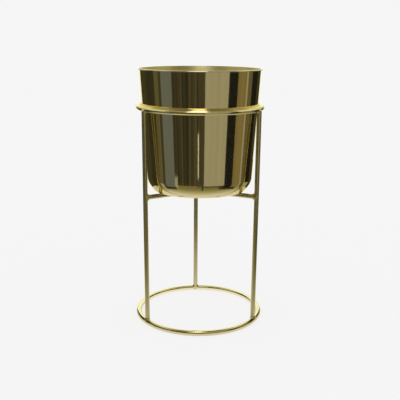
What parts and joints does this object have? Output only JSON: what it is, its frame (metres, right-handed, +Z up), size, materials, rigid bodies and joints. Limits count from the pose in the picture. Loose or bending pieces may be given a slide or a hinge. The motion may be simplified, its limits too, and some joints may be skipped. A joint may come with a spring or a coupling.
{
  "type": "plant stand",
  "caption": "Tall indoor plant stand: a deep polished pot with a lip drops through a round collar onto spokes, on slim rod legs that rise from a ring base.",
  "frame": {"origin": "on the floor, at the middle of the base ring", "axes": "+Z up along the pot's axis, -Y towards the front, with one leg at the back on +Y and the other two at the front left and front right"},
  "size_m": [0.2294, 0.2304, 0.4447],
  "materials": {
    "pot": "mirror-polished outside, satin inside",
    "rings": "polished",
    "rods": "polished",
    "welds": "polished, slightly rough"
  },
  "bodies": {
    "stand": {"collar_ring": "rings", "base_ring": "rings", "leg_back": "rods", "leg_front_left": "rods", "leg_front_right": "rods", "spoke_back": "rods", "spoke_front_left": "rods", "spoke_front_right": "rods", "hub_weld": "welds", "collar_weld_back": "welds", "collar_weld_front_left": "welds", "collar_weld_front_right": "welds", "foot_weld_back": "welds", "foot_weld_front_left": "welds", "foot_weld_front_right": "welds", "spoke_weld_back": "welds", "spoke_weld_front_left": "welds", "spoke_weld_front_right": "welds"},
    "pot": {"planter_pot": "pot"}
  },
  "joints": [
    {"name": "pot_lift", "type": "slide", "parent": "stand", "child": "pot", "axis": [0, 0, 1], "range_m": [0, 0.17]}
  ]
}
